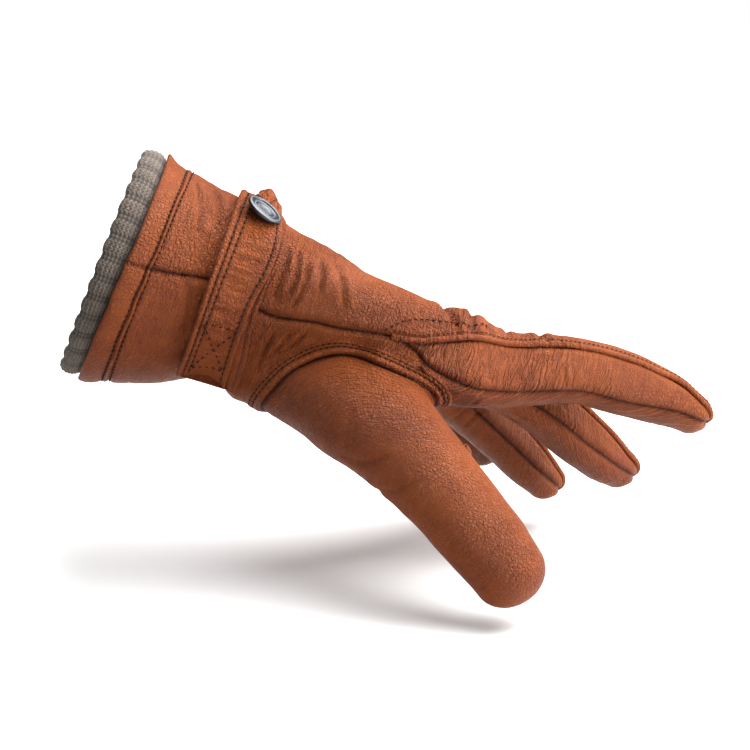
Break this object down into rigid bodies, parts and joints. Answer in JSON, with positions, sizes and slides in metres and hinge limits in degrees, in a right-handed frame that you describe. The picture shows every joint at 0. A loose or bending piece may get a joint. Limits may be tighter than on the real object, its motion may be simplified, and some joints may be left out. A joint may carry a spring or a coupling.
{
  "type": "glove",
  "caption": "Tan deerskin glove for the left hand, filled out as worn, with a set-in thumb, a ribbed knit cuff lining and a wrist strap closed by a snap.",
  "frame": {"origin": "middle of the knitted mouth, where the hand goes in", "axes": "+X from the cuff to the fingertips, +Z towards the back of the hand, -Y the thumb side; the thumb side is turned 14 degrees up, as the picture shows it"},
  "size_m": [0.2465, 0.1495, 0.1504],
  "materials": {
    "leather": "pebbled tan deerskin, satin",
    "knit": "heather grey-beige rib knit",
    "gunmetal": "dark nickel plate, worn bright on the rings"
  },
  "bodies": {
    "root": {"back_panel": "leather", "palm_panel": "leather", "index_side": "leather", "fourchette_index_middle": "leather", "fourchette_middle_ring": "leather", "fourchette_ring_little": "leather", "thumb": "leather", "cuff_hem": "leather", "knit_cuff": "knit", "strap": "leather", "strap_tab": "leather", "snap_cap": "gunmetal", "snap_post": "gunmetal"}
  },
  "joints": []
}
